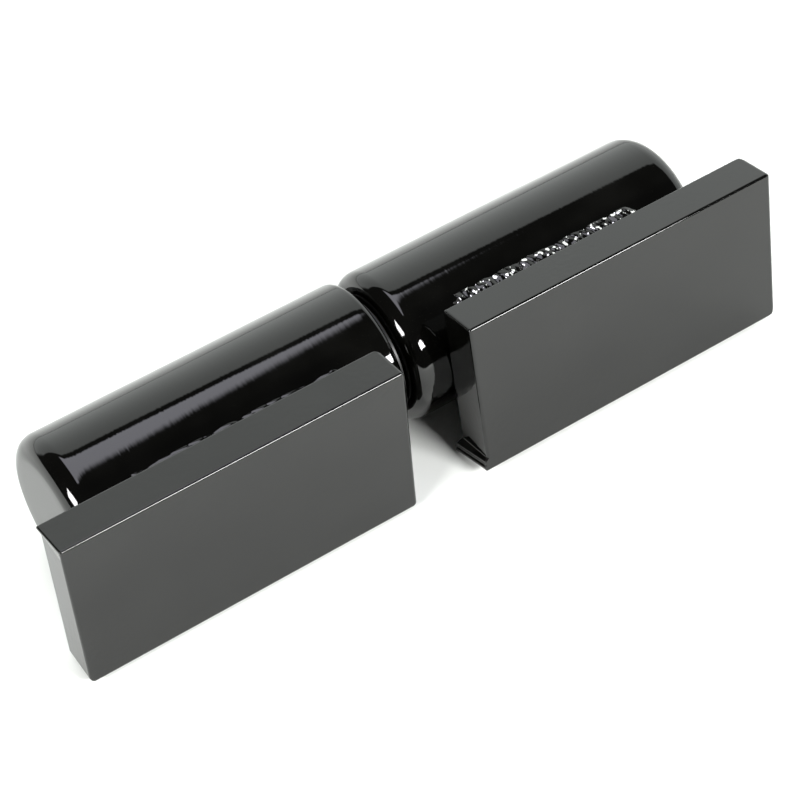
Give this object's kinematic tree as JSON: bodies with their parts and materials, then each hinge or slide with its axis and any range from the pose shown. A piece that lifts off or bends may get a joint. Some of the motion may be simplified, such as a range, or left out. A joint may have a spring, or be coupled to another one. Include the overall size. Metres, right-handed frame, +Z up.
{
  "type": "weld-on barrel hinge",
  "caption": "Heavy weld-on barrel hinge: two round-ended steel barrels on one pin with sealed ball bearings, each with a thick flat plate welded along its side, in gloss black.",
  "frame": {"origin": "on the ground plane, under the middle of the hinge's box as it lies on its barrels and its plates' lower back edges", "axes": "+X along the pin, from the frame leaf to the gate leaf; +Z up; the plates face -Y"},
  "size_m": [0.2346, 0.0638, 0.052],
  "materials": {
    "painted_barrel": "gloss black enamel over turned steel, faint ripple",
    "painted_plate": "gloss black enamel over flat bar, sheared ends",
    "painted_weld": "gloss black enamel over a rippled weld bead",
    "turned_steel": "turned and ground steel, oiled",
    "bearing_steel": "ground bearing steel",
    "polished_ball": "polished ball",
    "brass_cage": "machined brass",
    "spring_steel": "phosphated spring steel",
    "rubber": "matt nitrile rubber"
  },
  "bodies": {
    "frame_leaf": {"frame_barrel": "painted_barrel", "frame_plate": "painted_plate", "frame_weld_upper": "painted_weld", "frame_weld_lower": "painted_weld", "hinge_pin": "turned_steel", "thrust_frame_washer": "bearing_steel", "near_bearing_inner_ring": "bearing_steel", "far_bearing_inner_ring": "bearing_steel", "inner_spacer": "turned_steel", "pin_circlip": "spring_steel", "dust_seal": "rubber"},
    "gate_leaf": {"gate_barrel": "painted_barrel", "gate_plate": "painted_plate", "gate_weld_upper": "painted_weld", "gate_weld_lower": "painted_weld", "thrust_gate_washer": "bearing_steel", "near_bearing_outer_ring": "bearing_steel", "far_bearing_outer_ring": "bearing_steel", "near_bearing_seals": "rubber", "far_bearing_seals": "rubber", "outer_spacer": "turned_steel", "bore_circlip": "spring_steel"},
    "thrust_cage_set": {"thrust_cage": "brass_cage", "thrust_balls": "polished_ball"},
    "near_cage_set": {"near_bearing_cage": "brass_cage", "near_bearing_balls": "polished_ball"},
    "far_cage_set": {"far_bearing_cage": "brass_cage", "far_bearing_balls": "polished_ball"}
  },
  "joints": [
    {"name": "gate_swing", "type": "hinge", "parent": "frame_leaf", "child": "gate_leaf", "pos_m": [-0.00155, 0.00894, 0.023], "axis": [1, 0, 0], "continuous": true},
    {"name": "thrust_cage_turn", "type": "hinge", "parent": "frame_leaf", "child": "thrust_cage_set", "pos_m": [-0.00155, 0.00894, 0.023], "axis": [1, 0, 0], "continuous": true},
    {"name": "near_cage_turn", "type": "hinge", "parent": "frame_leaf", "child": "near_cage_set", "pos_m": [-0.00155, 0.00894, 0.023], "axis": [1, 0, 0], "continuous": true},
    {"name": "far_cage_turn", "type": "hinge", "parent": "frame_leaf", "child": "far_cage_set", "pos_m": [-0.00155, 0.00894, 0.023], "axis": [1, 0, 0], "continuous": true}
  ],
  "couplings": [
    {"joint": "thrust_cage_turn", "follows": "gate_swing", "ratio": 0.5},
    {"joint": "near_cage_turn", "follows": "gate_swing", "ratio": 0.58447},
    {"joint": "far_cage_turn", "follows": "gate_swing", "ratio": 0.58447}
  ]
}
